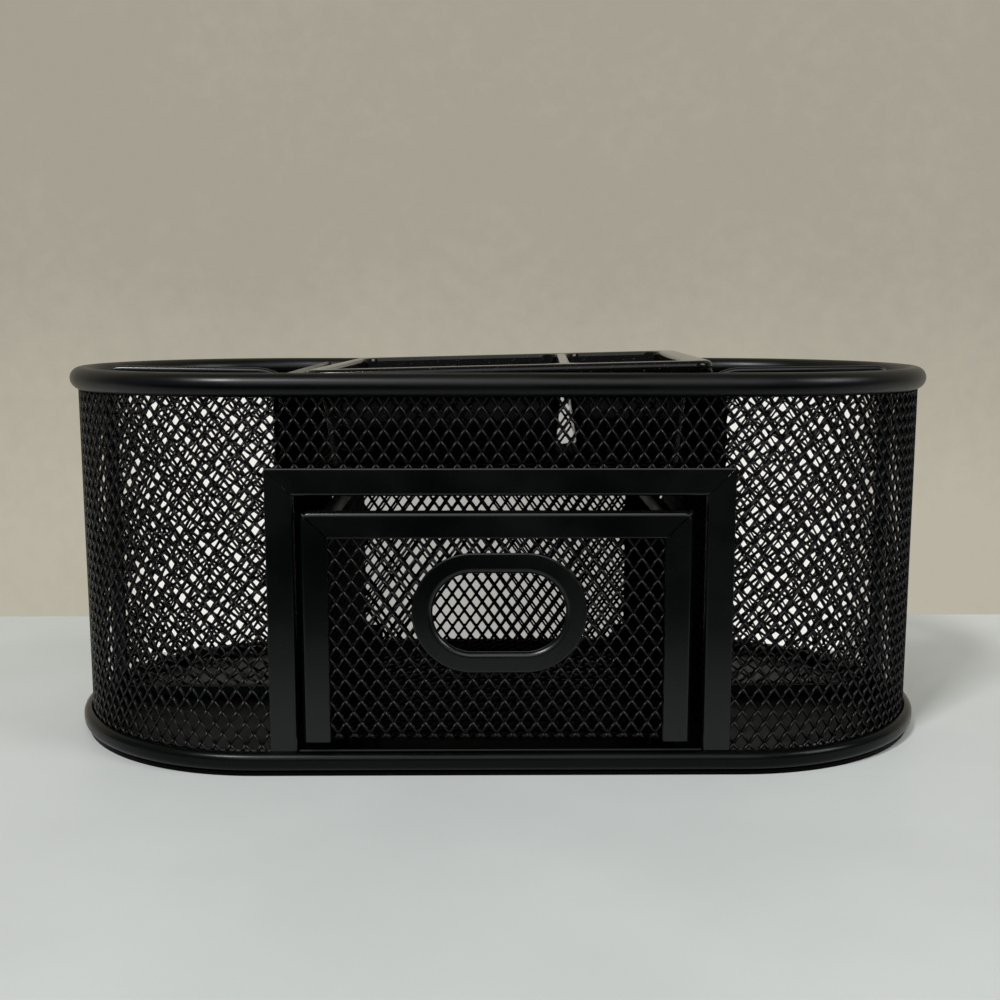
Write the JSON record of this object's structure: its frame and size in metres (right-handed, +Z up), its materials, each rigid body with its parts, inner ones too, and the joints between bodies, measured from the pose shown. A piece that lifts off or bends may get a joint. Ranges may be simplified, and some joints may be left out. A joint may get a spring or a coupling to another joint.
{
  "type": "pen stand with drawer",
  "caption": "Oval desk pen stand of expanded steel mesh with divided end compartments, a sliding mesh drawer and a lift-out small-parts tray.",
  "frame": {"origin": "on the table, under the middle of the base", "axes": "+X to the right seen from the drawer's side, +Y to the rear, +Z up"},
  "size_m": [0.235, 0.114, 0.1021],
  "materials": {
    "mesh_steel": "black powder coat on expanded mesh, satin",
    "strip_steel": "black powder coat on folded strip, satin with a fine texture",
    "pan_steel": "black enamel on sheet steel, semi-gloss",
    "tray_plastic": "black moulded plastic, glossy"
  },
  "bodies": {
    "stand": {"base_pan": "pan_steel", "base_ring": "strip_steel", "top_rim": "strip_steel", "wall_mesh": "mesh_steel", "surround_left": "strip_steel", "surround_top": "strip_steel", "surround_right": "strip_steel", "bay_roof": "mesh_steel", "bay_side_left": "mesh_steel", "bay_side_right": "mesh_steel", "bay_hem_left": "strip_steel", "bay_hem_right": "strip_steel", "runner_left": "strip_steel", "runner_right": "strip_steel", "divider_frame_left": "strip_steel", "divider_frame_right": "strip_steel", "divider_mesh_left": "mesh_steel", "divider_mesh_right": "mesh_steel"},
    "drawer": {"drawer_pan": "mesh_steel", "drawer_strip_left": "strip_steel", "drawer_strip_right": "strip_steel", "drawer_strip_top": "strip_steel", "drawer_rear_hem": "strip_steel", "drawer_handle": "strip_steel", "drawer_side_left": "mesh_steel", "drawer_side_right": "mesh_steel", "drawer_hem_left": "strip_steel", "drawer_hem_right": "strip_steel"},
    "tray": {"small_parts_tray": "tray_plastic"}
  },
  "joints": [
    {"name": "drawer_slide", "type": "slide", "parent": "stand", "child": "drawer", "axis": [0, -1, 0], "range_m": [0, 0.08]},
    {"name": "tray_lift", "type": "slide", "parent": "stand", "child": "tray", "axis": [0, 0, 1], "range_m": [0, 0.06]}
  ]
}
